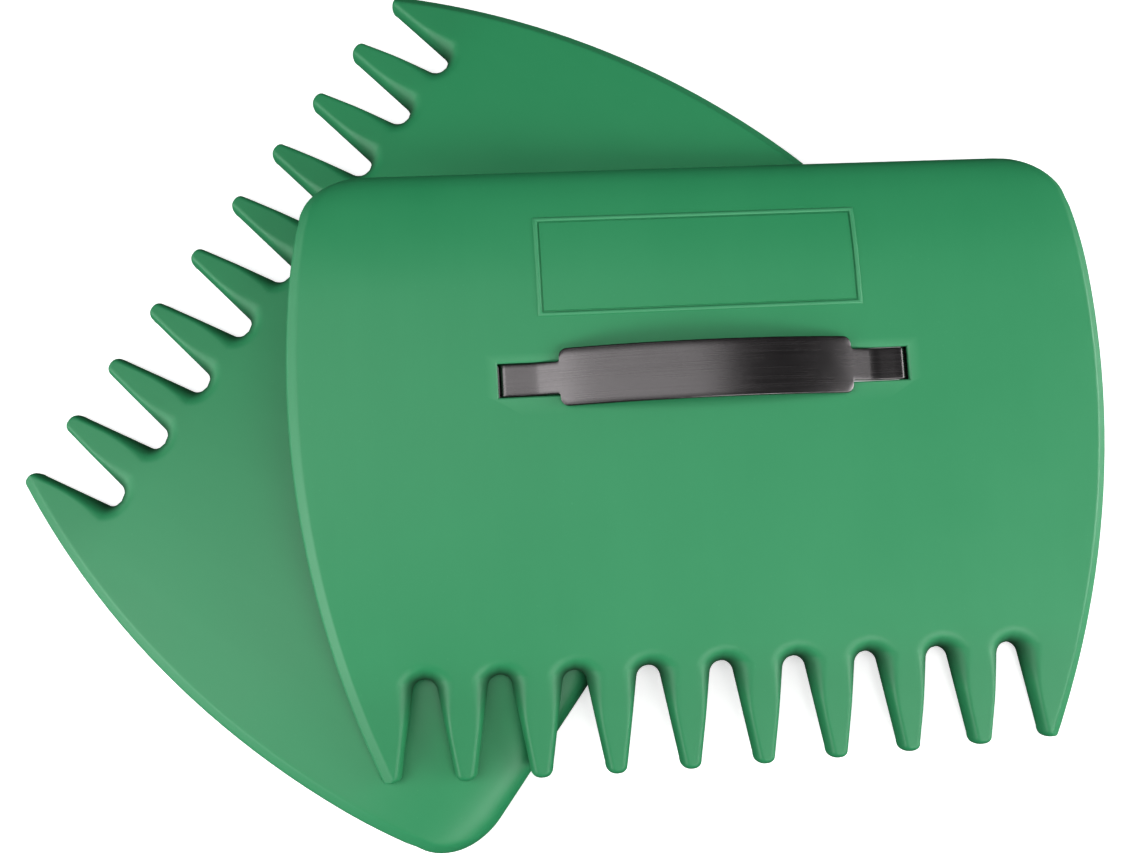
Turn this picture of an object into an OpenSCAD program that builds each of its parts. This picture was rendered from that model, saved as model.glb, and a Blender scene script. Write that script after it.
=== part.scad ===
// A pair of leaf grabber hands: two identical scoop rakes, each one thin moulded
// shell with ten hollow-backed teeth and a strap buttoned through two slots for
// the gardener's hand. The lower hand lies on the ground on its back rim and its
// tooth tips, and the upper hand leans across it.
//
// Each shell is drawn flat first: x runs across the hand and s runs along its
// outer face, from the back edge to the tooth tips. bend() then curls that sheet.

/* [Hand] */
// Greatest width of the hand
hand_w = 332; // [310:1:360]
// Where the hand is widest, from its back edge
widest_s = 94; // [80:1:120]
// Radius of the two back corners
corner_r = 27; // [15:1:40]
// From the back edge to the roots of the valleys
plate_len = 209; // [190:1:240]
// Thickness of the moulding
wall = 2.4; // [1.8:0.1:3]
// Width of the edge that is rolled down all round
roll_r = 6; // [4.5:0.1:7]
// Height of the rim that the rolled edge ends in
rim_depth = 9.6; // [7:0.1:11]
// How much lower that rim is at the tips of the teeth
rim_taper = 3; // [0:0.1:3.4]

/* [Curl] */
// Radius of the curl next to the back edge
curl_r = 65; // [50:1:90]
// Angle that the tight curl turns through
curl_angle = 19; // [15:1:26]
// Radius of the shoulder between the curl and the plate
shoulder_r = 175; // [130:1:220]
// Angle that the shoulder turns through
shoulder_angle = 12; // [9:1:16]
// Radius of the slight bow that the plate keeps down to the tips
plate_r = 2700; // [1800:100:5000]

/* [Teeth] */
// Number of teeth
tooth_count = 10; // [8:1:11]
// From the middle of one tooth to the next
tooth_pitch = 29.3; // [27:0.1:30]
// From the roots of the valleys to the tips of the middle teeth
tooth_len = 41; // [34:0.5:48]
// How much shorter the outermost teeth are
tip_bow = 2.5; // [0:0.1:5]
// Width of a tooth where its rounded tip begins
tip_w = 8.9; // [8:0.1:11]
// Length of the rounded tip
tip_len = 4.6; // [3.5:0.1:6]
// Radius at the root of a valley
valley_r = 4.8; // [3.5:0.1:6]

/* [Strap] */
// Distance of the strap from the back edge
strap_s = 94; // [88:0.5:115]
// Length of the wide pad across the back of the hand
pad_len = 117; // [105:1:125]
// Width of the pad
pad_w = 23; // [18:0.5:30]
// Radius of the pad's corners
pad_corner_r = 3; // [1:0.5:5]
// Height of the pad's arch above its ends
pad_rise = 8; // [6:0.5:14]
// Thickness of the strap
strap_t = 2; // [1.5:0.1:2.5]
// Width of the narrow necks
neck_w = 13; // [10:0.5:16]
// Width of the locking head on each end
head_w = 23; // [20:0.5:30]
// Length of each locking head
head_len = 11; // [8:0.5:14]
// Length of each slot
slot_len = 27; // [24:0.5:34]
// Distance between the outer ends of the two slots
slot_span = 166; // [155:0.5:185]
// How far the strap lifts before its heads meet the shell
strap_lift = 2; // [1:0.1:3]

/* [Pair] */
// Turn of the lower hand from the upper one
pair_turn = 127.5; // [122:0.5:134]
// From the upper hand's middle to the lower one's, to the right
pair_dx = -106.5; // [-115:0.5:-95]
// From the upper hand's middle to the lower one's, away from the front
pair_dy = 43.5; // [34:0.5:48]

/* [Hidden] */

// The outline on the flat sheet
half_w = hand_w / 2;
tooth_span = (tooth_count - 1) * tooth_pitch;
tip_s = plate_len + tooth_len;
outer_tip_s = tip_s - tip_bow;
// Each side is one arc, from the back corner to the tip of the outermost tooth
side_drop = half_w - tooth_span / 2 - tip_w / 2;
side_run = outer_tip_s - tip_len - widest_s;
side_r = (side_drop ^ 2 + side_run ^ 2) / (2 * side_drop);
side_x = half_w - side_r;
corner_x = side_x + sqrt((side_r - corner_r) ^ 2 - (widest_s - corner_r) ^ 2);
// Each valley is a round root that opens between two straight tooth flanks
valley_s = plate_len + valley_r;
flank_run = tip_s - tip_len - valley_s;
flank_gap = (tooth_pitch - tip_w) / 2;
flank_angle = acos(valley_r / norm([flank_gap, flank_run])) - atan2(flank_run, flank_gap);
// The rounded tips follow a squarish curve and end in a small flat
tip_power = 2.4;
tip_share = 0.985;

// The curl
deg = 180 / PI;
curl_len = curl_r * curl_angle / deg;
plate_s = curl_len + shoulder_r * shoulder_angle / deg;
curl_centre = (shoulder_r - curl_r) * [-sin(shoulder_angle), cos(shoulder_angle)] - [0, shoulder_r];

// Offsets of the grid lines from an edge of the moulding: close together where
// the outer face rolls over, and on the rim's inner edge on the hollow side
outer_steps = [0, 0.13 * roll_r, 0.53 * roll_r, 1.4 * roll_r];
inner_steps = [0, wall, wall + 0.28 * (roll_r - wall), 1.4 * roll_r];
outer_share = [0, 0.2, 0.55, 0.8];
inner_share = [0, 0.5, 0.7, 0.85];
tip_steps = [[0, 0.5, 0.82, tip_share], [0, 0.26, 0.48, tip_share]];
flank_rows = 3;
tooth_rows = flank_rows + len(tip_steps[0]);
last_tooth = tooth_count - 1;

function steps(face) = face == 0 ? outer_steps : inner_steps;
function spread(from, to, count) = [for (k = [1:count]) from + (to - from) * k / count];

// Rows of the plate, from the back edge to the roots of the valleys
function plate_rows(face) = concat(
    steps(face),
    spread(1.4 * roll_r, curl_len, 3),
    spread(curl_len, plate_s, 4),
    spread(plate_s, plate_len - 1.4 * roll_r, 4),
    [for (k = [2:-1:0]) plate_len - steps(face)[k]]
);
row_count = len(plate_rows(0));

// Half the width of the sheet at s
function side_at(s) =
    s < corner_r
    ? min(corner_x + sqrt(corner_r ^ 2 - (corner_r - s) ^ 2), arc_at(s))
    : arc_at(s);
function arc_at(s) = side_x + sqrt(side_r ^ 2 - (s - widest_s) ^ 2);

// Half the gap between two teeth at s
function gap_at(s) =
    s < valley_s - valley_r * sin(flank_angle)
    ? sqrt(max(0, valley_r ^ 2 - (valley_s - s) ^ 2))
    : (valley_r + (s - valley_s) * sin(flank_angle)) / cos(flank_angle);

function tooth_x(i) = (i - last_tooth / 2) * tooth_pitch;
function tip_at(i) = tip_s - tip_bow * (tooth_x(i) / (tooth_span / 2)) ^ 2;

// How far a point of the sheet lies inside its outline
function depth(x, s) = min(s, side_depth(abs(x), s), valley_depth(x, s));
function side_depth(x, s) = min(
    side_r - norm([x - side_x, s - widest_s]),
    x > corner_x && s < corner_r ? corner_r - norm([x - corner_x, s - corner_r]) : s
);
function valley_depth(x, s) =
    let (odd = (tooth_count % 2) / 2,
         reach = (tooth_count - 2) / 2,
         k = max(-reach, min(reach, round(x / tooth_pitch - odd) + odd)),
         dx = abs(x - k * tooth_pitch),
         ds = s - valley_s,
         along = dx * sin(flank_angle) + ds * cos(flank_angle))
    (along > 0 ? dx * cos(flank_angle) - ds * sin(flank_angle) : norm([dx, ds])) - valley_r;
// The same inside a rounded tip: t runs 0 to 1 along it and u from its middle to its side
function tip_depth(u, t) = tip_len * (1 - (u ^ tip_power + t ^ tip_power) ^ (1 / tip_power));
function tip_taper(t) = (1 - t ^ tip_power) ^ (1 / tip_power);

// Height of the rim at s: it gets lower along the teeth
function rim_at(s) = rim_depth - rim_taper * max(0, s - plate_len) / tooth_len;

// Height of each face below the sheet, at s and at a depth inside the outline
function sink(face, d, s) = let (rim = rim_at(s)) face == 0
    ? (d >= roll_r ? 0 : rim * (1 - sqrt(1 - ((roll_r - max(0, d)) / roll_r) ^ 2)))
    : (d <= wall ? rim : d >= roll_r ? wall
       : rim - (rim - wall) * sqrt(1 - ((roll_r - d) / (roll_r - wall)) ^ 2));

// Curl a point of the sheet: x across, s along, h above the outer face
function tilt(s) =
    s > plate_s ? (plate_s - s) / plate_r * deg
    : s > curl_len ? (plate_s - s) / shoulder_r * deg
    : shoulder_angle + (curl_len - s) / curl_r * deg;
function bend(x, s, h) =
    let (r = s > plate_s ? plate_r : s > curl_len ? shoulder_r : curl_r,
         c = s > curl_len ? [0, -r] : curl_centre)
    [x, c[0] - (r + h) * sin(tilt(s)), c[1] + (r + h) * cos(tilt(s))];

// Grid lines across one tooth, or across the plate behind it
function half_lines(hw, outermost, face) =
    [for (k = [0:outermost ? 3 : 2])
        min(steps(face)[k], hw * (face == 0 ? outer_share : inner_share)[k])];
function lines(i, left, mid, right, face) = let (
    a = half_lines(mid - left, i == 0, face),
    b = half_lines(right - mid, i == last_tooth, face)
) concat(
    [for (o = a) left + o],
    [mid],
    [for (k = [len(b) - 1:-1:0]) right - b[k]]
);
function cell_left(i, s) = i == 0 ? -side_at(s) : tooth_x(i) - tooth_pitch / 2;
function cell_right(i, s) = i == last_tooth ? side_at(s) : tooth_x(i) + tooth_pitch / 2;
function plate_lines(s, face) = [for (i = [0:last_tooth])
    let (xs = lines(i, cell_left(i, s), tooth_x(i), cell_right(i, s), face))
    for (k = [i == 0 ? 0 : 1:len(xs) - 1]) xs[k]];
line_count = len(plate_lines(plate_len, 0));

// Row q of tooth i: where it is along the sheet and how far along the rounded tip
function tooth_s(i, q, face) = let (tip_start = tip_at(i) - tip_len)
    q == 0 ? plate_len + valley_r * (1 - cos(45))
    : q == 1 ? valley_s
    : q == 2 ? (valley_s + tip_start) / 2
    : tip_start + tip_len * tip_steps[face][q - flank_rows];
function tooth_row(i, q, face) =
    let (s = tooth_s(i, q, face),
         t = q < flank_rows ? 0 : tip_steps[face][q - flank_rows],
         left = i == 0 ? -arc_at(s) : tooth_x(i) - tooth_pitch / 2 + gap_at(s),
         right = i == last_tooth ? arc_at(s) : tooth_x(i) + tooth_pitch / 2 - gap_at(s),
         mid = (left + right) / 2,
         hw = (right - left) / 2)
    [for (x = lines(i, mid - hw * tip_taper(t), mid, mid + hw * tip_taper(t), face))
        let (d = min(depth(x, s), q < flank_rows ? roll_r : tip_depth(abs(x - mid) / hw, t)))
        bend(x, s, -sink(face, q == tooth_rows - 1 ? 0 : d, s))];

function face_points(face) = concat(
    [for (s = plate_rows(face), x = plate_lines(s, face))
        bend(x, s, -sink(face, depth(x, s), s))],
    [for (i = [0:last_tooth], q = [0:tooth_rows - 1], p = tooth_row(i, q, face)) p]
);

// Places in the list of points
function tooth_lines(i) = i == 0 || i == last_tooth ? 8 : 7;
function tooth_start(i) = i == 0 ? 0 : 7 + 6 * (i - 1);
function tooth_base(i) = row_count * line_count
    + tooth_rows * (i == 0 ? 0 : 8 + 7 * (i - 1));
function plate_at(r, c) = r * line_count + c;
function tooth_at(i, q, c) = q < 0
    ? plate_at(row_count - 1, tooth_start(i) + c)
    : tooth_base(i) + q * tooth_lines(i) + c;
point_count = row_count * line_count + tooth_rows * (8 + 8 + 7 * (tooth_count - 2));

// The outline's own points belong to both faces of the moulding
function on_plate_edge(r, c) = r == 0 || c == 0 || c == line_count - 1
    || (r == row_count - 1 && len([for (i = [1:last_tooth]) if (tooth_start(i) == c) 1]) > 0);
function on_tooth_edge(i, q, c) = q < 0
    ? on_plate_edge(row_count - 1, tooth_start(i) + c)
    : q == tooth_rows - 1 || c == 0 || c == tooth_lines(i) - 1;
function plate_point(face, r, c) =
    plate_at(r, c) + (face == 1 && !on_plate_edge(r, c) ? point_count : 0);
function tooth_point(face, i, q, c) =
    tooth_at(i, q, c) + (face == 1 && !on_tooth_edge(i, q, c) ? point_count : 0);
// A cell of the grid is two triangles, and no two points of the outline share a diagonal
function facing(face, t) = face == 0 ? t : [t[0], t[2], t[1]];
function two(face, rising, a, b, c, d) = rising
    ? [facing(face, [a, b, c]), facing(face, [a, c, d])]
    : [facing(face, [a, b, d]), facing(face, [b, c, d])];
function face_triangles(face) = concat(
    [for (r = [0:row_count - 2], c = [0:line_count - 2]) each two(face,
        c < line_count / 2,
        plate_point(face, r, c), plate_point(face, r + 1, c),
        plate_point(face, r + 1, c + 1), plate_point(face, r, c + 1))],
    [for (i = [0:last_tooth], q = [-1:tooth_rows - 2], c = [0:tooth_lines(i) - 2]) each two(face,
        c >= tooth_lines(i) / 2 - 1,
        tooth_point(face, i, q, c), tooth_point(face, i, q + 1, c),
        tooth_point(face, i, q + 1, c + 1), tooth_point(face, i, q, c + 1))]
);

module moulding() {
    polyhedron(
        points = concat(face_points(0), face_points(1)),
        faces = concat(face_triangles(0), face_triangles(1))
    );
}

// The strap, drawn level on the shell's outer face: x across the hand and z off the face
side_gap = 0.3;
seat_gap = 0.3;
ground_gap = 0.1;
end_gap = 1;
neck_depth = 0.5;
neck_bend_r = 20;
pad_half = pad_len / 2;
arch_r = (pad_half ^ 2 + pad_rise ^ 2) / (2 * pad_rise);
arch_angle = asin(pad_half / arch_r);
pad_z = seat_gap + strap_t / 2 / cos(arch_angle);
neck_z = -neck_depth - strap_t / 2;
neck_end = slot_span / 2 - end_gap;
bend_drop = neck_bend_r * (1 - cos(arch_angle));
slope_run = (pad_z - neck_z - bend_drop) / tan(arch_angle);
bend_end = pad_half + slope_run + neck_bend_r * sin(arch_angle);
head_z = -wall - strap_lift - seat_gap - strap_t;
slot_w = neck_w + 2 * side_gap;

// Points of the strap's middle line, each with its downward slope
arch_line = [for (k = [0:12]) let (a = arch_angle * k / 12)
    [arch_r * sin(a), pad_z + pad_rise - arch_r * (1 - cos(a)), a]];
bend_line = [for (k = [0:4]) let (a = arch_angle * (1 - k / 4))
    [bend_end - neck_bend_r * sin(a), neck_z + neck_bend_r * (1 - cos(a)), a]];
strap_line = concat(arch_line, bend_line, [[neck_end, neck_z, 0]]);
function beside(p, off) = [p[0] + off * sin(p[2]), p[1] + off * cos(p[2])];
half_profile = concat(
    [for (p = strap_line) beside(p, strap_t / 2)],
    [for (k = [len(strap_line) - 1:-1:0]) beside(strap_line[k], -strap_t / 2)]
);

module rounded(size, r) {
    hull()
        for (x = [r - size[0] / 2, size[0] / 2 - r], y = [r - size[1] / 2, size[1] / 2 - r])
            translate([x, y]) circle(r, $fn = 32);
}

module strap_plan() {
    rounded([pad_len, pad_w], pad_corner_r);
    square([2 * neck_end, neck_w], center = true);
}

module strap_band() {
    rotate([90, 0, 0])
        linear_extrude(pad_w, center = true) {
            polygon(half_profile);
            mirror([1, 0]) polygon(half_profile);
        }
}

module strap() {
    intersection() {
        strap_band();
        translate([0, 0, neck_z - strap_t])
            linear_extrude(pad_rise + 4 * strap_t) strap_plan();
    }
    for (side = [0, 1]) mirror([side, 0, 0]) {
        translate([neck_end - strap_t, -neck_w / 2, head_z])
            cube([strap_t, neck_w, neck_z + strap_t / 2 - head_z]);
        translate([neck_end - strap_t + head_len / 2, 0, head_z])
            linear_extrude(strap_t) rounded([head_len, head_w], pad_corner_r);
    }
}

// Onto the hand at the line of its two slots
module at_slots() {
    translate(bend(0, strap_s, 0)) rotate([tilt(strap_s), 0, 0]) children();
}

module hand_shell() {
    difference() {
        moulding();
        at_slots()
            for (side = [-1, 1])
                translate([side * (slot_span - slot_len) / 2, 0, 0])
                    cube([slot_len, slot_w, 4 * rim_depth], center = true);
    }
}

module hand_strap() {
    at_slots() strap();
}

// Places are kept as matrices, so that points and solids move alike
function shift(v) = [[1, 0, 0, v[0]], [0, 1, 0, v[1]], [0, 0, 1, v[2]], [0, 0, 0, 1]];
function turn_x(a) = [[1, 0, 0, 0], [0, cos(a), -sin(a), 0], [0, sin(a), cos(a), 0], [0, 0, 0, 1]];
function turn_z(a) = [[cos(a), -sin(a), 0, 0], [sin(a), cos(a), 0, 0], [0, 0, 1, 0], [0, 0, 0, 1]];
function placed(m, p) = let (q = m * [p[0], p[1], p[2], 1]) [q[0], q[1], q[2]];

// A hand stands on its back rim and its tooth tips, with the origin midway between them
back_foot = bend(0, 0, -rim_depth);
tip_foot = bend(0, tip_s, -rim_at(tip_s));
rest_tilt = atan2(tip_foot[2] - back_foot[2], tip_foot[1] - back_foot[1]);
foot_run = norm(tip_foot - back_foot);
standing = shift([0, -foot_run / 2, 0]) * turn_x(-rest_tilt) * shift(-back_foot);

// The crest is the line across the shoulder where a standing hand is highest
crest_s = plate_s - rest_tilt / deg * shoulder_r;
crest = placed(standing, bend(0, crest_s, 0));

// The lower hand is turned on the ground
lower_yaw = 180 - pair_turn;
lower_turned = shift([pair_dx, pair_dy, 0]) * turn_z(lower_yaw);

// The upper hand has its teeth to the front. It pivots on its right-hand tooth tip until
// its left-hand tip and its back rim, which share a level sole, lie on the lower hand's
// shoulder. The shoulder is round, so the sole is a tangent to it beside the crest.
upper_turned = turn_z(180) * standing;
pivot = placed(upper_turned, bend(-tooth_span / 2, outer_tip_s, -rim_at(outer_tip_s)));
crest_run = placed(turn_z(-lower_yaw), placed(lower_turned, crest) - pivot)[1];
sole_z = ground_gap - pivot[2];
axis_drop = shoulder_r - crest[2] + sole_z;
lean = asin((shoulder_r + seat_gap) / norm([crest_run, axis_drop])) - atan2(axis_drop, crest_run);
leaning = shift([pivot[0], pivot[1], sole_z])
    * turn_z(lower_yaw) * turn_x(lean) * turn_z(-lower_yaw)
    * shift([-pivot[0], -pivot[1], 0]);

// The origin is on the ground, under the middle of the pair
outline = face_points(0);
pair_points = concat(
    [for (p = outline) placed(lower_turned * standing, p)],
    [for (p = outline) placed(leaning * upper_turned, p)]
);
pair_x = [for (p = pair_points) p[0]];
pair_y = [for (p = pair_points) p[1]];
centred = shift([-(min(pair_x) + max(pair_x)) / 2, -(min(pair_y) + max(pair_y)) / 2, 0]);
lower_place = centred * lower_turned * standing;
upper_place = centred * leaning * upper_turned;

module lower_shell() { color("#469868") multmatrix(lower_place) hand_shell(); }
module lower_strap() { color("#3a3a3c") multmatrix(lower_place) hand_strap(); }
module upper_shell() { color("#469868") multmatrix(upper_place) hand_shell(); }
module upper_strap() { color("#3a3a3c") multmatrix(upper_place) hand_strap(); }

lower_shell();
lower_strap();
upper_shell();
upper_strap();
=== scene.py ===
"""A pair of green leaf grabber hands with black straps, one leaning across the other.

Each hand is worked out flat, in sheet coordinates: x across the hand, s along it from the
back edge to the tooth tips, and h above its outer face. bend() curls that sheet, in
millimetres, and a placement matrix puts the hand where the CAD has it, in metres.
"""

import math

import bmesh
import bpy
import numpy as np
from mathutils import Matrix, Vector


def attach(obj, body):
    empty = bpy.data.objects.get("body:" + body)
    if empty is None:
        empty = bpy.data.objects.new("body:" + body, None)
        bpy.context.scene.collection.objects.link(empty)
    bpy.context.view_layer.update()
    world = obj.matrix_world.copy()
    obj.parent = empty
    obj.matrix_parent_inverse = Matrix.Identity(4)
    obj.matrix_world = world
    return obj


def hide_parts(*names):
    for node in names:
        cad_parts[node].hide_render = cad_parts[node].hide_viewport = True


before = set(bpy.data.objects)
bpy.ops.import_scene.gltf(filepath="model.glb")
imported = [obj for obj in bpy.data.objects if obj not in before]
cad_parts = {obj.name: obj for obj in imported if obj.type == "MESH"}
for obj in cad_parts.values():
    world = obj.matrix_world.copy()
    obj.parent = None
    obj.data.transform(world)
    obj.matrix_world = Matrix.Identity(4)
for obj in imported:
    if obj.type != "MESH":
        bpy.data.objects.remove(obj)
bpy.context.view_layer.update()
MM = 0.001
WELD = 0.002
SMOOTH_ANGLE = math.radians(38)

# The hand, in millimetres, as in the part's source
HAND_W = 332
WIDEST_S = 94
CORNER_R = 27
PLATE_LEN = 209
WALL = 2.4
ROLL_R = 6
RIM_DEPTH = 9.6
RIM_TAPER = 3.0
CURL_R = 65
CURL_ANGLE = math.radians(19)
SHOULDER_R = 175
SHOULDER_ANGLE = math.radians(12)
PLATE_R = 2700
TOOTH_COUNT = 10
TOOTH_PITCH = 29.3
TOOTH_LEN = 41
TIP_BOW = 2.5
TIP_W = 8.9
TIP_LEN = 4.6
TIP_POWER = 2.4
VALLEY_R = 4.8
STRAP_S = 94
PAD_LEN = 117
PAD_W = 23
PAD_CORNER_R = 3
PAD_RISE = 8
STRAP_T = 2
NECK_W = 13
HEAD_W = 23
HEAD_LEN = 11
SLOT_LEN = 27
SLOT_SPAN = 166
STRAP_LIFT = 2
SIDE_GAP = 0.3
SEAT_GAP = 0.3
GROUND_GAP = 0.1
END_GAP = 1
NECK_DEPTH = 0.5
NECK_BEND_R = 20
HEAD_BEND_R = 1.4
HEAD_FLARE = 3
PAIR_TURN = math.radians(127.5)
PAIR_DX = -106.5
PAIR_DY = 43.5

# The studio, in metres
FLOOR_HALF = 45
LIGHT_DISTANCE = 1.3
CAMERA_AT = (-0.001, -0.1143, 0.5002)
CAMERA_TURN = (10.97, 0.07, -3.51)
CAMERA_LENS = 37.9

# Trim that only the render needs: how the edge rolls over in each place,
BACK_ROLL = 13
BACK_HOLLOW = 10
BEVEL_W = 4.8
BEVEL_SLOPE = 0.72
BEVEL_SOFT = 0.45
BEVEL_DROP_W = 1.1
VALLEY_ROLL = 8
TIP_ROLL = 2.6
ROLL_FADE = 0.6

# how far its painted highlight and painted shade reach,
HIGHLIGHT_SOFT = 0.4
BEVEL_HIGHLIGHT = 0.43
TIP_FADE = 0.7
SHADE_W = 5.8
SHADE_LEN = 18
TOOTH_SHADE = 0.1

# the slots and the small edges,
SLOT_CHAMFER = 0.6
CUT_BELOW = 9
CUT_ABOVE = 3
EDGE_ROUND = 0.3
EDGE_ANGLE = math.radians(42)
STRAP_EDGE_R = 0.55

# and the bare label outline
LABEL_HALF_W = 65
LABEL_FROM_S = 29
LABEL_TO_S = 68.3
BEAD_W = 1.8
BEAD_H = 0.5
BEAD_FOOT = 0.4
GROOVE_W = 0.8
GROOVE_DEPTH = 0.4
GROOVE_SLANT = 0.3
GROOVE_ABOVE = 1

# The outline that follows from them
half_w = HAND_W / 2
tooth_span = (TOOTH_COUNT - 1) * TOOTH_PITCH
tip_s = PLATE_LEN + TOOTH_LEN
outer_tip_s = tip_s - TIP_BOW
side_drop = half_w - tooth_span / 2 - TIP_W / 2
side_run = outer_tip_s - TIP_LEN - WIDEST_S
side_r = (side_drop**2 + side_run**2) / (2 * side_drop)
side_x = half_w - side_r
corner_x = side_x + math.sqrt((side_r - CORNER_R) ** 2 - (WIDEST_S - CORNER_R) ** 2)
valley_s = PLATE_LEN + VALLEY_R
flank_run = tip_s - TIP_LEN - valley_s
flank_gap = (TOOTH_PITCH - TIP_W) / 2
flank = math.acos(VALLEY_R / math.hypot(flank_gap, flank_run)) - math.atan2(
    flank_run, flank_gap
)
curl_len = CURL_R * CURL_ANGLE
plate_s = curl_len + SHOULDER_R * SHOULDER_ANGLE
curl_y = -(SHOULDER_R - CURL_R) * math.sin(SHOULDER_ANGLE)
curl_z = (SHOULDER_R - CURL_R) * math.cos(SHOULDER_ANGLE) - SHOULDER_R
last_tooth = TOOTH_COUNT - 1

# Offsets of grid lines from an edge of the moulding: close together over the rolled rim
EDGE_STEPS = np.array([0, 0.13, 0.5, 1.1, 1.7, 2.4, 3.1, 3.8, 4.3, 4.8, 5.3, 6.1, 6.9, 7.8, 8.6])
EDGE_SHARES = np.array(
    [0, 0.03, 0.09, 0.17, 0.25, 0.33, 0.41, 0.49, 0.56, 0.63, 0.7, 0.77, 0.84, 0.9, 0.96]
)
TIP_STEPS = [0, 0.16, 0.3, 0.42, 0.54, 0.65, 0.75, 0.84, 0.92, 0.985]
ROOT_TURNS = np.radians([8, 15, 23, 31, 40, 50, 60, 70])
CURL_ROWS = 7
SHOULDER_ROWS = 10
PLATE_ROWS = 18
TOOTH_ROWS = 14


def tilt_at(s):
    """Slope of the bent sheet at s, downwards to the teeth when negative."""
    return np.where(
        s > plate_s,
        (plate_s - s) / PLATE_R,
        np.where(
            s > curl_len,
            (plate_s - s) / SHOULDER_R,
            SHOULDER_ANGLE + (curl_len - s) / CURL_R,
        ),
    )


def bend(x, s, h):
    """Points of the curled hand, in its own frame, for sheet coordinates."""
    x, s, h = np.broadcast_arrays(*(np.asarray(v, float) for v in (x, s, h)))
    r = np.where(s > plate_s, PLATE_R, np.where(s > curl_len, SHOULDER_R, CURL_R))
    y0 = np.where(s > curl_len, 0.0, curl_y)
    z0 = np.where(s > curl_len, -r, curl_z)
    t = tilt_at(s)
    return np.stack([x, y0 - (r + h) * np.sin(t), z0 + (r + h) * np.cos(t)], -1)


def unbend(p):
    """Sheet coordinates of points of the curled hand."""
    x, y, z = p.T
    angle = np.arctan2(-y, z + SHOULDER_R)
    curl = np.arctan2(curl_y - y, z - curl_z)
    plate = np.arctan2(-y, z + PLATE_R)
    s = np.where(
        plate < 0,
        plate_s - plate * PLATE_R,
        np.where(
            curl > SHOULDER_ANGLE,
            curl_len - (curl - SHOULDER_ANGLE) * CURL_R,
            plate_s - angle * SHOULDER_R,
        ),
    )
    h = np.where(
        plate < 0,
        np.hypot(y, z + PLATE_R) - PLATE_R,
        np.where(
            curl > SHOULDER_ANGLE,
            np.hypot(y - curl_y, z - curl_z) - CURL_R,
            np.hypot(y, z + SHOULDER_R) - SHOULDER_R,
        ),
    )
    return x, s, h


def arc_at(s):
    return side_x + np.sqrt(side_r**2 - (s - WIDEST_S) ** 2)


def side_at(s):
    """Half the width of the sheet at s."""
    if s >= CORNER_R:
        return float(arc_at(s))
    return min(corner_x + math.sqrt(CORNER_R**2 - (CORNER_R - s) ** 2), float(arc_at(s)))


def gap_at(s, offset=0.0):
    """Half the gap between two teeth at s, measured to the curve offset into the teeth."""
    r = VALLEY_R + offset
    if s < valley_s - r:
        return 0.0
    if s < valley_s - r * math.sin(flank):
        return math.sqrt(max(0.0, r**2 - (valley_s - s) ** 2))
    return (r + (s - valley_s) * math.sin(flank)) / math.cos(flank)


def tooth_x(i):
    return (i - last_tooth / 2) * TOOTH_PITCH


def tip_at(i):
    return tip_s - TIP_BOW * (tooth_x(i) / (tooth_span / 2)) ** 2


def side_depth(x, s):
    """How far a point of the sheet lies inside its back edge, corners and sides."""
    ax = np.abs(x)
    side = side_r - np.hypot(ax - side_x, s - WIDEST_S)
    corner = CORNER_R - np.hypot(ax - corner_x, s - CORNER_R)
    side = np.where((ax > corner_x) & (s < CORNER_R), np.minimum(side, corner), side)
    return np.minimum(s, side)


def valley_depth(x, s):
    """How far a point of the sheet lies from the nearest valley."""
    reach = (TOOTH_COUNT - 2) / 2
    odd = (TOOTH_COUNT % 2) / 2
    k = np.clip(np.round(x / TOOTH_PITCH - odd) + odd, -reach, reach)
    dx, ds = np.abs(x - k * TOOTH_PITCH), s - valley_s
    along = dx * math.sin(flank) + ds * math.cos(flank)
    valley = np.where(
        along > 0, dx * math.cos(flank) - ds * math.sin(flank), np.hypot(dx, ds)
    )
    return valley - VALLEY_R


def rim_at(s):
    """Height of the rim at s: it gets lower along the teeth."""
    return RIM_DEPTH - RIM_TAPER * max(0, s - PLATE_LEN) / TOOTH_LEN


def rolled(d, s, width):
    """How far the outer face lies below the sheet, d inside an edge that rolls over."""
    u = np.clip((width - d) / width, 0, 1)
    return rim_at(s) * (1 - np.sqrt(1 - u**2))


def bevelled(d, s):
    """The same beside an edge with a flat bevel that ends in a steep drop."""
    ramp = np.clip(BEVEL_W - d + BEVEL_SOFT, 0, 2 * BEVEL_SOFT) ** 2 / (4 * BEVEL_SOFT)
    ramp = BEVEL_SLOPE * (ramp + np.clip(BEVEL_W - BEVEL_SOFT - d, 0, None))
    u = np.clip((BEVEL_DROP_W - d) / BEVEL_DROP_W, 0, 1)
    return ramp + (rim_at(s) - BEVEL_SLOPE * BEVEL_W) * (1 - np.sqrt(1 - u**2))


def hollow(d, s, width):
    """How far the inner face lies below the sheet, d inside an edge."""
    u = np.clip((width - d) / (width - WALL), 0, 1)
    return rim_at(s) - (rim_at(s) - WALL) * np.sqrt(1 - u**2)


def sink(inner, x, s):
    """How far each face of the moulding lies below the sheet at a point of it."""
    along_tooth = max(0, s - PLATE_LEN) / TOOTH_LEN
    tight = min(1, along_tooth / ROLL_FADE)
    valley_w = TIP_ROLL + (VALLEY_ROLL - TIP_ROLL) * (1 - tight) ** 2
    side, valley = np.maximum(side_depth(x, s), 0), np.maximum(valley_depth(x, s), 0)
    back = np.clip(1 - s / CORNER_R, 0, 1)
    if inner:
        side_w = ROLL_R + (BACK_HOLLOW - ROLL_R) * back
        return np.maximum(hollow(side, s, side_w), hollow(valley, s, valley_w))
    side = back * rolled(side, s, BACK_ROLL) + (1 - back) * bevelled(side, s)
    return np.maximum(side, rolled(valley, s, valley_w))


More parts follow.
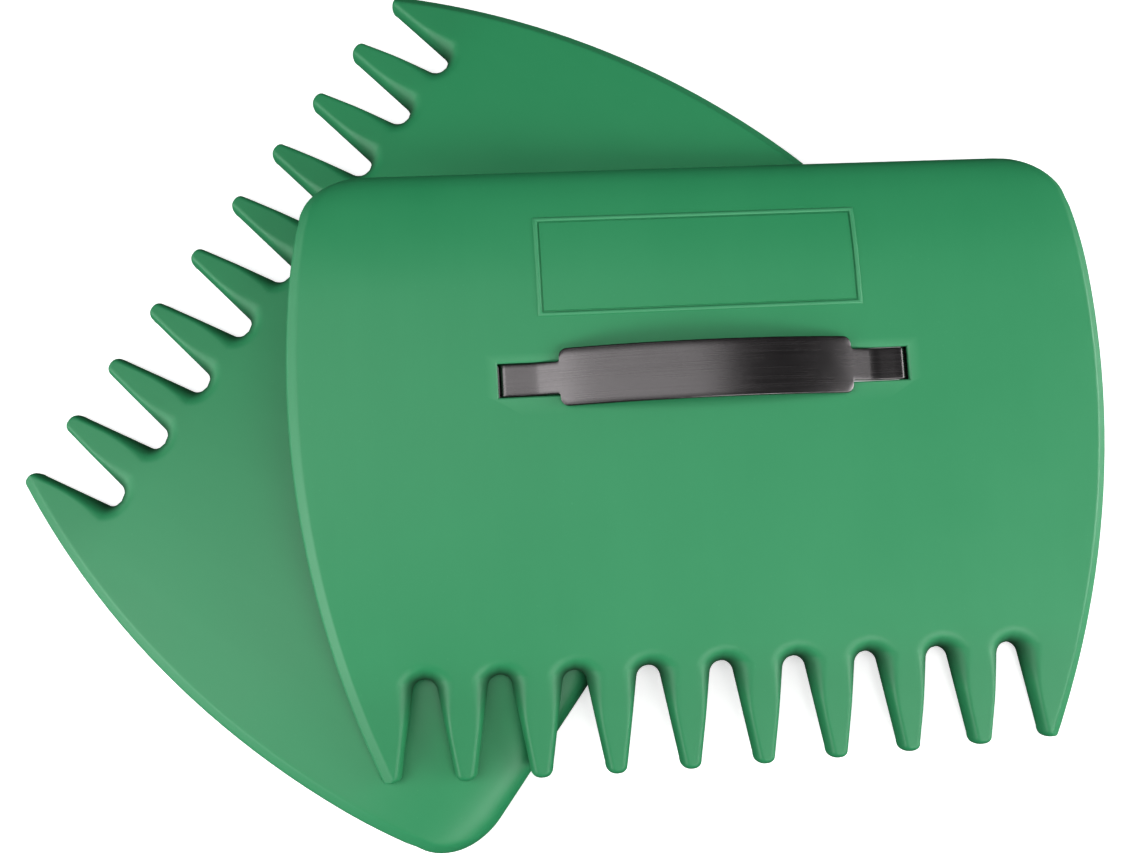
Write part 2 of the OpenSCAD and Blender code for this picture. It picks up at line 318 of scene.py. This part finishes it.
def from_edge(i, s, side):
    """Grid lines from one edge of tooth i, or of the plate behind it, to its middle."""
    outer = side_at(s)
    edges = [tooth_x(i) - TOOTH_PITCH / 2, tooth_x(i) + TOOTH_PITCH / 2]
    free = (i == 0, i == last_tooth)
    if i == 0:
        edges[0] = -outer
    if i == last_tooth:
        edges[1] = outer
    inset = [0 if free[k] else gap_at(s) for k in (0, 1)]
    mid = (edges[0] + inset[0] + edges[1] - inset[1]) / 2
    if free[side]:
        steps = np.minimum(EDGE_STEPS, abs(mid - edges[side]) * EDGE_SHARES)
    else:
        steps = np.array([gap_at(s, step) for step in EDGE_STEPS])
        steps = np.minimum(steps, abs(mid - edges[side]))
    return edges[side] + steps * (1 - 2 * side), mid


def across(i, s):
    """Grid lines across tooth i, or across the plate behind it."""
    (left, mid), (right, _) = from_edge(i, s, 0), from_edge(i, s, 1)
    return np.concatenate([left, [mid], right[::-1]])


def add_grid(points, faces, rows):
    start = len(points)
    width = len(rows[0])
    for row in rows:
        points.extend(row)
    for r in range(len(rows) - 1):
        for c in range(width - 1):
            a = start + r * width + c
            faces.append((a, a + width, a + width + 1, a + 1))


def moulding():
    """The closed mesh of one hand without its slots, in millimetres."""
    rows = np.concatenate(
        [
            EDGE_STEPS,
            np.linspace(EDGE_STEPS[-1], curl_len, CURL_ROWS)[1:],
            np.linspace(curl_len, plate_s, SHOULDER_ROWS)[1:],
            np.linspace(plate_s, PLATE_LEN - EDGE_STEPS[-1], PLATE_ROWS)[1:],
            (PLATE_LEN - EDGE_STEPS[:-1])[::-1],
        ]
    )
    points, faces = [], []
    for inner in (False, True):
        for i in range(TOOTH_COUNT):
            root = valley_s - VALLEY_R * math.sin(flank)
            tip_start = tip_at(i) - TIP_LEN
            along = [PLATE_LEN + VALLEY_R * (1 - math.cos(a)) for a in ROOT_TURNS]
            along = [s for s in along if s < root - 0.2] + [root]
            along += list(np.linspace(root, tip_start, TOOTH_ROWS)[1:-1])
            grid = []
            for s in list(rows) + along:
                x = across(i, s)
                grid.append(bend(x, s, -sink(inner, x, s)))
            x0 = across(i, tip_start)
            mid, hw = x0[len(x0) // 2], (x0[-1] - x0[0]) / 2
            for t in TIP_STEPS:
                s = tip_start + TIP_LEN * t
                taper = (1 - t**TIP_POWER) ** (1 / TIP_POWER)
                x = mid + (x0 - mid) * taper
                u = np.abs(x - mid) / hw
                tip = TIP_LEN * (1 - (u**TIP_POWER + t**TIP_POWER) ** (1 / TIP_POWER))
                if t == TIP_STEPS[-1]:
                    tip = np.zeros_like(tip)
                low = hollow(tip, s, TIP_ROLL) if inner else rolled(tip, s, TIP_ROLL)
                low = np.maximum(sink(inner, x, s), low)
                grid.append(bend(x, s, -low))
            add_grid(points, faces, grid)
    return points, faces


def mesh_object(name, points, faces, scale=1.0):
    mesh = bpy.data.meshes.new(name)
    mesh.from_pydata([Vector(p) * scale for p in points], [], faces)
    obj = bpy.data.objects.new(name, mesh)
    bpy.context.scene.collection.objects.link(obj)
    return obj


def weld(obj):
    """Joins points that lie on each other and turns all faces outwards."""
    bm = bmesh.new()
    bm.from_mesh(obj.data)
    bmesh.ops.remove_doubles(bm, verts=bm.verts, dist=WELD)
    bmesh.ops.dissolve_degenerate(bm, edges=bm.edges, dist=WELD)
    bmesh.ops.recalc_face_normals(bm, faces=bm.faces)
    bm.to_mesh(obj.data)
    bm.free()


def settle(obj):
    """Applies the modifiers of a piece to its mesh."""
    done = bpy.data.meshes.new_from_object(
        obj.evaluated_get(bpy.context.evaluated_depsgraph_get())
    )
    obj.modifiers.clear()
    obj.data = done


def smooth(obj):
    """Shades a piece smooth except along its sharp edges."""
    obj.data.polygons.foreach_set("use_smooth", [True] * len(obj.data.polygons))
    obj.data.set_sharp_from_angle(angle=SMOOTH_ANGLE)


def slot_cutter():
    """Both slots as one cutter that flares where it leaves the outer face."""
    centre = bend(0, STRAP_S, 0)
    turn = Matrix.Rotation(float(tilt_at(STRAP_S)), 3, "X")
    levels = ((-CUT_BELOW, 0), (-SLOT_CHAMFER, 0), (CUT_ABOVE, SLOT_CHAMFER + CUT_ABOVE))
    points, faces = [], []
    for side in (-1, 1):
        mid = side * (SLOT_SPAN - SLOT_LEN) / 2
        start = len(points)
        for z, grow in levels:
            hx, hy = SLOT_LEN / 2 + grow, NECK_W / 2 + SIDE_GAP + grow
            for cx, cy in ((-1, -1), (1, -1), (1, 1), (-1, 1)):
                p = turn @ Vector((mid + cx * hx, cy * hy, z))
                points.append(p + Vector(centre))
        for ring in (0, 4):
            for k in range(4):
                a, b = start + ring + k, start + ring + (k + 1) % 4
                faces.append((a, b, b + 4, a + 4))
        faces.append((start + 3, start + 2, start + 1, start))
        faces.append((start + 8, start + 9, start + 10, start + 11))
    return mesh_object("slot_cutter", points, faces)


def cut(obj, cutter):
    """Takes one mesh out of another, as a modifier."""
    boolean = obj.modifiers.new(cutter.name, "BOOLEAN")
    boolean.operation = "DIFFERENCE"
    boolean.solver = "EXACT"
    boolean.object = cutter


def hand_shell():
    """One finished shell in its own frame, in millimetres."""
    shell = mesh_object("hand_shell", *moulding())
    weld(shell)
    cutter, groove = slot_cutter(), label_groove()
    cut(shell, cutter)
    edges = shell.modifiers.new("edges", "BEVEL")
    edges.limit_method = "ANGLE"
    edges.angle_limit = EDGE_ANGLE
    edges.width = EDGE_ROUND
    edges.segments = 2
    cut(shell, groove)
    settle(shell)
    bpy.data.objects.remove(cutter)
    bpy.data.objects.remove(groove)
    return shell


def strap_path():
    """Middle line of half the strap, from the crown of its arch to the end of its head.

    Each point is x, height above the sheet, its direction as an angle, and half its width.
    """
    half = PAD_LEN / 2
    arch_r = (half**2 + PAD_RISE**2) / (2 * PAD_RISE)
    arch = math.asin(half / arch_r)
    pad_z = SEAT_GAP + STRAP_T / 2 / math.cos(arch)
    neck_z = -NECK_DEPTH - STRAP_T / 2
    neck_end = SLOT_SPAN / 2 - END_GAP
    slope = (pad_z - neck_z - NECK_BEND_R * (1 - math.cos(arch))) / math.tan(arch)
    bend_end = half + slope + NECK_BEND_R * math.sin(arch)
    head_z = -WALL - STRAP_LIFT - SEAT_GAP - STRAP_T / 2
    web_x = neck_end - STRAP_T / 2
    head_end = neck_end - STRAP_T + HEAD_LEN
    path = []

    def pad_half(x):
        into = x - (half - PAD_CORNER_R)
        if into <= 0:
            return PAD_W / 2
        return PAD_W / 2 - PAD_CORNER_R + math.sqrt(max(0, PAD_CORNER_R**2 - into**2))

    xs = list(np.linspace(0, half - PAD_CORNER_R, 26))
    xs += [half - PAD_CORNER_R * (1 - math.sin(a)) for a in np.radians([20, 40, 55, 70, 82, 90])]
    for x in xs:
        a = math.asin(x / arch_r)
        z = pad_z + PAD_RISE - arch_r * (1 - math.cos(a))
        path.append((x, z, -a, pad_half(x)))
    for step in (0.03, 0.25, 0.55, 1.0):
        fillet = 1 - math.sqrt(max(0, 1 - (1 - min(step, 1)) ** 2))
        path.append((half + step, pad_z - step * math.tan(arch), -arch, NECK_W / 2 + fillet))
    for k in range(7):
        a = arch * (1 - k / 6)
        path.append(
            (
                bend_end - NECK_BEND_R * math.sin(a),
                neck_z + NECK_BEND_R * (1 - math.cos(a)),
                -a,
                NECK_W / 2,
            )
        )
    for k in range(1, 4):
        x = bend_end + (web_x - HEAD_BEND_R - bend_end) * k / 3
        path.append((x, neck_z, 0, NECK_W / 2))
    for a in np.radians([15, 30, 45, 60, 75, 90]):
        x = web_x - HEAD_BEND_R + HEAD_BEND_R * math.sin(a)
        path.append((x, neck_z - HEAD_BEND_R * (1 - math.cos(a)), -a, NECK_W / 2))
    for a in np.radians([90, 75, 60, 45, 30, 15, 0]):
        x = web_x + HEAD_BEND_R - HEAD_BEND_R * math.sin(a)
        path.append((x, head_z + HEAD_BEND_R * (1 - math.cos(a)), -a, NECK_W / 2))
    grow = (HEAD_W - NECK_W) / 2
    head_from = web_x + HEAD_BEND_R
    for k in (0.02, 0.3, 0.7, 1.3, 2.1, HEAD_FLARE):
        wide = NECK_W / 2 + grow * math.sqrt(1 - (1 - k / HEAD_FLARE) ** 2)
        path.append((head_from + k, head_z, 0, wide))
    for a in np.radians([0, 25, 45, 62, 75, 84]):
        x = head_end - PAD_CORNER_R * (1 - math.sin(a))
        path.append((x, head_z, 0, HEAD_W / 2 - PAD_CORNER_R * (1 - math.cos(a))))
    return path


def hand_strap():
    """One strap in the hand's own frame, in millimetres, with its sheet coordinates."""
    r, half_t = STRAP_EDGE_R, STRAP_T / 2
    corner = [(r * math.cos(a), r * math.sin(a)) for a in np.radians([90, 60, 30, 0])]
    half = strap_path()
    line = [(-x, z, -a, w) for x, z, a, w in half[:0:-1]] + half
    run = np.concatenate(
        [[0], np.cumsum([math.dist(p[:2], q[:2]) for p, q in zip(line, line[1:])])]
    )
    centre = Vector(bend(0, STRAP_S, 0))
    turn = Matrix.Rotation(float(tilt_at(STRAP_S)), 3, "X")
    points, places = [], []
    for along, (x, z, a, w) in zip(run - run[-1] / 2, line):
        flat = np.linspace(-(w - r), w - r, 9)
        ring = [(v, half_t) for v in flat]
        ring += [(w - r + cx, half_t - r + cy) for cx, cy in corner[1:]]
        ring += [(w - r + cx, -(half_t - r) - cy) for cx, cy in corner[::-1]]
        ring += [(v, -half_t) for v in flat[::-1][1:]]
        ring += [(-(w - r) - cx, -(half_t - r) - cy) for cx, cy in corner[1:]]
        ring += [(-(w - r) - cx, half_t - r + cy) for cx, cy in corner[::-1][:-1]]
        for v, n in ring:
            p = turn @ Vector((x - n * math.sin(a), v, z + n * math.cos(a)))
            points.append(p + centre)
            places.append((along, v, n))
    size = len(points) // len(line)
    faces = [tuple(range(size)), tuple(len(points) - 1 - k for k in range(size))]
    for k in range(len(line) - 1):
        for c in range(size):
            a, b = k * size + c, k * size + (c + 1) % size
            faces.append((a, b, b + size, a + size))
    strap = mesh_object("hand_strap", points, faces)
    place = strap.data.attributes.new("place", "FLOAT_VECTOR", "POINT")
    place.data.foreach_set("vector", (np.array(places) * MM).ravel())
    bm = bmesh.new()
    bm.from_mesh(strap.data)
    bmesh.ops.recalc_face_normals(bm, faces=bm.faces)
    bm.to_mesh(strap.data)
    bm.free()
    return strap


def label_ring(name, profile):
    """A closed ring swept round the bare label panel: offset outwards and height."""
    mid_s = (LABEL_FROM_S + LABEL_TO_S) / 2
    half_s = (LABEL_TO_S - LABEL_FROM_S) / 2
    stations = [(-1, k) for k in np.linspace(-1, 1, 12)]
    stations += [(k, 1) for k in np.linspace(-1, 1, 20)[1:]]
    stations += [(1, k) for k in np.linspace(1, -1, 12)[1:]]
    stations += [(k, -1) for k in np.linspace(1, -1, 20)[1:-1]]
    points = []
    for cx, cs in stations:
        for off, height in profile:
            x, s = cx * (LABEL_HALF_W + off), mid_s + cs * (half_s + off)
            points.append(bend(x, s, height))
    size, count = len(profile), len(stations)
    faces = []
    for k in range(count):
        for c in range(size):
            a, b = k * size + c, k * size + (c + 1) % size
            d, e = (k + 1) % count * size + c, (k + 1) % count * size + (c + 1) % size
            faces.append((a, b, e, d))
    ring = mesh_object(name, points, faces)
    weld(ring)
    return ring


def label_frame():
    """The raised line round the bare label panel, in the hand's own frame."""
    w, h = BEAD_W / 2, BEAD_H
    right = [(0.3 * w, h), (0.72 * w, 0.7 * h), (w, 0), (w, -BEAD_FOOT)]
    left = [(-across_bead, height) for across_bead, height in right[::-1]]
    return label_ring("label_frame", left + right)


def label_groove():
    """The cutter for the fine groove inside that line, with a slanting inner side."""
    inner, outer = -BEAD_W / 2 - GROOVE_W, -BEAD_W / 2
    slant = [(inner - GROOVE_SLANT, GROOVE_ABOVE), (inner + GROOVE_SLANT, -GROOVE_DEPTH)]
    straight = [(outer, -GROOVE_DEPTH), (outer, GROOVE_ABOVE)]
    return label_ring("label_groove", slant + straight)


def sheet_attributes(obj, raised=False):
    """Keeps each point's place on the flat sheet, a mask for the painted highlight on the side
    bevels, slot edges and bead crest, and a mask for the painted shade at the tooth roots.
    """
    co = np.empty(len(obj.data.vertices) * 3)
    obj.data.vertices.foreach_get("co", co)
    x, s, h = unbend(co.reshape(-1, 3))
    place = obj.data.attributes.new("place", "FLOAT_VECTOR", "POINT")
    place.data.foreach_set("vector", (np.stack([x, s, h], -1) * MM).ravel())
    # Painted highlight: lighter green rising to the crest of the raised label bead.
    if raised:
        painted_highlight = np.clip(h / BEAD_H, 0, 1)
    else:
        # Painted highlight: lighter green over the side bevels, none at the back edge, fading
        # along the teeth, in place of the reflection they catch.
        painted_highlight = np.clip((BEVEL_W + HIGHLIGHT_SOFT - side_depth(x, s)) / (2 * HIGHLIGHT_SOFT), 0, 1)
        painted_highlight *= np.clip(s / CORNER_R, 0, 1)
        painted_highlight *= BEVEL_HIGHLIGHT * (1 - TIP_FADE * np.clip((s - PLATE_LEN) / TOOTH_LEN, 0, 1))
        # Painted highlight: full lighter green on the chamfered edges of the slots.
        along = np.abs(np.abs(x) - (SLOT_SPAN - SLOT_LEN) / 2) - SLOT_LEN / 2
        beside = np.abs(s - STRAP_S) - NECK_W / 2 - SIDE_GAP
        at_slot = (np.maximum(along, beside) < SLOT_CHAMFER + 0.1) & (h > -SLOT_CHAMFER - 0.1)
        painted_highlight = np.where(at_slot, 1.0, painted_highlight)
    rim = obj.data.attributes.new("rim", "FLOAT", "POINT")
    rim.data.foreach_set("value", painted_highlight)
    # Painted shade: darkening round each valley root that fades along the tooth, and a faint
    # painted shade over the teeth and just behind them.
    near = np.clip(1 - valley_depth(x, s) / SHADE_W, 0, 1)
    past_root = (s - PLATE_LEN) / SHADE_LEN
    shade = near**2 * (3 - 2 * near) * np.clip(1 - past_root, 0, 1)
    shade = np.maximum(shade, TOOTH_SHADE * np.clip(past_root + 0.5, 0, 1))
    root = obj.data.attributes.new("root", "FLOAT", "POINT")
    root.data.foreach_set("value", shade)


# Where the two hands stand, as the part's source works it out
def shift(x, y, z):
    return Matrix.Translation((float(x), float(y), float(z)))


def turn_x(a):
    return Matrix.Rotation(a, 4, "X")


def turn_z(a):
    return Matrix.Rotation(a, 4, "Z")


back_foot = Vector(bend(0, 0, -RIM_DEPTH))
tip_foot = Vector(bend(0, tip_s, -rim_at(tip_s)))
foot_line = tip_foot - back_foot
rest_tilt = math.atan2(foot_line.z, foot_line.y)
standing = shift(0, -foot_line.length / 2, 0) @ turn_x(-rest_tilt) @ shift(*(-back_foot))
crest = standing @ Vector(bend(0, plate_s - rest_tilt * SHOULDER_R, 0))
lower_yaw = math.pi - PAIR_TURN
lower_turned = shift(PAIR_DX, PAIR_DY, 0) @ turn_z(lower_yaw)
upper_turned = turn_z(math.pi) @ standing
pivot = upper_turned @ Vector(bend(-tooth_span / 2, outer_tip_s, -rim_at(outer_tip_s)))
crest_run = (turn_z(-lower_yaw) @ (lower_turned @ crest - pivot)).y
sole_z = GROUND_GAP - pivot.z
axis_drop = SHOULDER_R - crest.z + sole_z
lean = math.asin((SHOULDER_R + SEAT_GAP) / math.hypot(crest_run, axis_drop)) - math.atan2(
    axis_drop, crest_run
)
leaning = (
    shift(pivot.x, pivot.y, sole_z)
    @ turn_z(lower_yaw)
    @ turn_x(lean)
    @ turn_z(-lower_yaw)
    @ shift(-pivot.x, -pivot.y, 0)
)
to_metres = Matrix.Scale(MM, 4)


def place_copy(source, name, matrix, body, material, node=None):
    """Puts a copy of a piece where a hand stands, riding on one body of the frame."""
    piece = source.copy()
    piece.data = source.data.copy()
    piece.name = piece.data.name = name
    piece.data.transform(matrix)
    bpy.context.scene.collection.objects.link(piece)
    piece.data.materials.clear()
    piece.data.materials.append(material)
    smooth(piece)
    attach(piece, body)
    if node:
        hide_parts(node)


# Materials
class Nodes:
    """A material's node tree with short calls for the nodes used here."""

    def __init__(self, name):
        self.material = bpy.data.materials.new(name)
        self.material.use_nodes = True
        self.tree = self.material.node_tree
        self.shader = self.tree.nodes["Principled BSDF"]

    def add(self, kind, **settings):
        node = self.tree.nodes.new(kind)
        for key, value in settings.items():
            setattr(node, key, value)
        return node

    def join(self, out, into):
        self.tree.links.new(out, into)

    def attribute(self, name):
        return self.add("ShaderNodeAttribute", attribute_name=name)

    def scaled(self, vector, scale):
        node = self.add("ShaderNodeVectorMath", operation="MULTIPLY")
        node.inputs[1].default_value = scale
        self.join(vector, node.inputs[0])
        return node.outputs[0]

    def noise(self, vector, scale, detail=2.0, roughness=0.5):
        node = self.add("ShaderNodeTexNoise")
        node.inputs["Scale"].default_value = scale
        node.inputs["Detail"].default_value = detail
        node.inputs["Roughness"].default_value = roughness
        self.join(vector, node.inputs["Vector"])
        return node.outputs["Fac"]

    def ramp(self, factor, low, high, to_low=0.0, to_high=1.0):
        node = self.add("ShaderNodeMapRange")
        for key, value in zip(
            ("From Min", "From Max", "To Min", "To Max"), (low, high, to_low, to_high)
        ):
            node.inputs[key].default_value = value
        self.join(factor, node.inputs["Value"])
        return node.outputs[0]

    def math(self, operation, a, b):
        node = self.add("ShaderNodeMath", operation=operation)
        for socket, value in zip(node.inputs, (a, b)):
            if isinstance(value, (int, float)):
                socket.default_value = value
            else:
                self.join(value, socket)
        return node.outputs["Value"]

    def mix(self, factor, a, b):
        node = self.add("ShaderNodeMix", data_type="RGBA")
        self.join(factor, node.inputs["Factor"])
        for socket, value in ((node.inputs["A"], a), (node.inputs["B"], b)):
            if isinstance(value, tuple):
                socket.default_value = (*value, 1)
            else:
                self.join(value, socket)
        return node.outputs["Result"]

    def bump(self, height, distance, strength=1.0, before=None):
        node = self.add("ShaderNodeBump")
        node.inputs["Strength"].default_value = strength
        node.inputs["Distance"].default_value = distance
        self.join(height, node.inputs["Height"])
        if before:
            self.join(before, node.inputs["Normal"])
        return node.outputs["Normal"]


def shell_plastic():
    """Satin polypropylene: clouded pigment, a painted highlight on the side bevels, slot edges
    and bead crest, painted shade at the tooth roots and along the teeth, fine mould grain.
    """
    n = Nodes("green_polypropylene")
    place = n.attribute("place").outputs["Vector"]
    rim = n.attribute("rim").outputs["Fac"]
    root = n.attribute("root").outputs["Fac"]
    coords = n.add("ShaderNodeTexCoord").outputs["Object"]
    clouds = n.noise(coords, 14, 3, 0.55)
    flow = n.noise(n.scaled(place, (60, 9, 1)), 1, 3, 0.6)
    grain = n.noise(place, 2600, 2, 0.6)
    specks = n.noise(place, 700, 1, 0.5)
    colour = n.mix(n.ramp(clouds, 0.3, 0.7), (0.022, 0.262, 0.098), (0.026, 0.276, 0.106))
    colour = n.mix(n.ramp(flow, 0.45, 0.8, 0, 0.35), colour, (0.03, 0.29, 0.114))
    colour = n.mix(n.ramp(specks, 0.7, 0.8, 0, 0.25), colour, (0.05, 0.33, 0.15))
    # Painted highlight: the rim mask turns the bevels, slot edges and bead crest a lighter green.
    colour = n.mix(n.math("MULTIPLY", rim, 0.35), colour, (0.1, 0.4, 0.2))
    # Painted shade: the root mask turns the tooth roots nearly black-green.
    colour = n.mix(n.math("MULTIPLY", root, 0.9), colour, (0.001, 0.03, 0.009))
    n.join(colour, n.shader.inputs["Base Color"])
    rough = n.math("ADD", n.ramp(clouds, 0.3, 0.7, 0.4, 0.46), n.ramp(grain, 0.3, 0.7, 0, 0.05))
    n.join(n.math("ADD", rough, n.math("MULTIPLY", root, 0.3)), n.shader.inputs["Roughness"])
    waves = n.bump(n.noise(coords, 30, 2), 0.0004, 0.25)
    fine = n.bump(grain, 0.00004, 0.5, waves)
    n.join(fine, n.shader.inputs["Normal"])
    n.shader.inputs["IOR"].default_value = 1.49
    return n.material


def strap_plastic():
    """Dark flexible plastic with fine lengthwise brushing that catches the light."""
    n = Nodes("dark_strap_plastic")
    place = n.attribute("place").outputs["Vector"]
    streaks = n.noise(n.scaled(place, (18, 2400, 900)), 1, 4, 0.62)
    hairs = n.noise(n.scaled(place, (70, 6500, 1200)), 1, 2, 0.5)
    clouds = n.noise(n.add("ShaderNodeTexCoord").outputs["Object"], 60, 3, 0.6)
    colour = n.mix(n.ramp(streaks, 0.3, 0.7), (0.004, 0.0036, 0.0039), (0.0085, 0.0078, 0.0082))
    colour = n.mix(n.ramp(hairs, 0.55, 0.8, 0, 0.4), colour, (0.022, 0.02, 0.021))
    n.join(colour, n.shader.inputs["Base Color"])
    rough = n.math("ADD", n.ramp(streaks, 0.3, 0.7, 0.2, 0.27), n.ramp(clouds, 0.3, 0.7, 0, 0.04))
    n.join(rough, n.shader.inputs["Roughness"])
    brushed = n.bump(streaks, 0.00003, 0.4)
    fine = n.bump(hairs, 0.00002, 0.3, brushed)
    n.join(fine, n.shader.inputs["Normal"])
    n.shader.inputs["IOR"].default_value = 1.85
    n.shader.inputs["Specular Tint"].default_value = (1.0, 0.94, 0.96, 1)
    return n.material


def floor_paper():
    """White paper that glows a little, which hides most of the shadows."""
    n = Nodes("studio_paper")
    coords = n.add("ShaderNodeTexCoord").outputs["Object"]
    clouds = n.noise(coords, 3, 2)
    n.join(n.mix(clouds, (0.95, 0.95, 0.95), (0.97, 0.97, 0.97)), n.shader.inputs["Base Color"])
    n.shader.inputs["Roughness"].default_value = 0.9
    n.shader.inputs["Specular IOR Level"].default_value = 0.2
    n.shader.inputs["Emission Color"].default_value = (1, 1, 1, 1)
    n.shader.inputs["Emission Strength"].default_value = 0.6
    return n.material


green = shell_plastic()
black = strap_plastic()
shell = hand_shell()
sheet_attributes(shell)
bead = label_frame()
sheet_attributes(bead, raised=True)
strap = hand_strap()

whole = {"lower": lower_turned @ standing, "upper": leaning @ upper_turned}
rims = [whole[k] @ v.co for k in whole for v in shell.data.vertices]
low_x, high_x = min(p.x for p in rims), max(p.x for p in rims)
low_y, high_y = min(p.y for p in rims), max(p.y for p in rims)
centred = to_metres @ shift(-(low_x + high_x) / 2, -(low_y + high_y) / 2, 0)
for hand, place in whole.items():
    matrix = centred @ place
    body, loop = hand + "_hand", hand + "_loop"
    place_copy(shell, hand + "_shell_moulding", matrix, body, green, hand + "_shell")
    place_copy(bead, hand + "_label_frame", matrix, body, green)
    place_copy(strap, hand + "_strap_band", matrix, loop, black, hand + "_strap")
for source in (shell, bead, strap):
    bpy.data.objects.remove(source)

# The floor
square = [(-1, -1, 0), (1, -1, 0), (1, 1, 0), (-1, 1, 0)]
floor = mesh_object("floor", square, [(0, 1, 2, 3)], FLOOR_HALF)
floor.data.materials.append(floor_paper())
floor.visible_diffuse = False
floor.visible_glossy = False


def softbox(name, elevation, azimuth, size, watts):
    """A studio light aimed at the origin, placed by its height and bearing from +X, degrees."""
    light = bpy.data.lights.new(name, "AREA")
    light.shape = "RECTANGLE"
    light.size, light.size_y = size
    light.energy = watts
    e, a = math.radians(elevation), math.radians(azimuth)
    obj = bpy.data.objects.new(name, light)
    obj.location = Vector((math.cos(e) * math.cos(a), math.cos(e) * math.sin(a), math.sin(e)))
    obj.location *= LIGHT_DISTANCE
    obj.rotation_euler = (-obj.location).to_track_quat("-Z", "Y").to_euler()
    bpy.context.scene.collection.objects.link(obj)


softbox("top_box", 87, 180, (0.5, 1.15), 3.9)
softbox("left_high_box", 60, 180, (0.55, 0.5), 2.6)
softbox("left_box", 42, 182, (0.5, 0.5), 2.5)
softbox("left_low_strip", 24, 208, (0.9, 0.4), 6.5)
softbox("left_wall", 7, 180, (1.6, 0.25), 5)
softbox("right_front_box", 40, 303, (0.55, 0.5), 5.6)
softbox("right_low_strip", 22, 335, (0.7, 0.4), 4.6)
softbox("right_box", 27, 0, (0.5, 0.25), 1.6)
softbox("right_wall", 9, 0, (0.6, 0.4), 7)

world = bpy.data.worlds.new("studio")
world.use_nodes = True
world.node_tree.nodes["Background"].inputs["Color"].default_value = (1, 1, 1, 1)
world.node_tree.nodes["Background"].inputs["Strength"].default_value = 0.02
bpy.context.scene.world = world

# The camera looks down from half a metre above, a little from the teeth's side
camera = bpy.data.objects.new("camera", bpy.data.cameras.new("camera"))
camera.data.lens = CAMERA_LENS
camera.data.sensor_width = 36
camera.data.clip_start = 0.01
camera.location = CAMERA_AT
camera.rotation_euler = [math.radians(a) for a in CAMERA_TURN]
bpy.context.scene.collection.objects.link(camera)
bpy.context.scene.camera = camera
bpy.context.scene.view_settings.view_transform = "Standard"
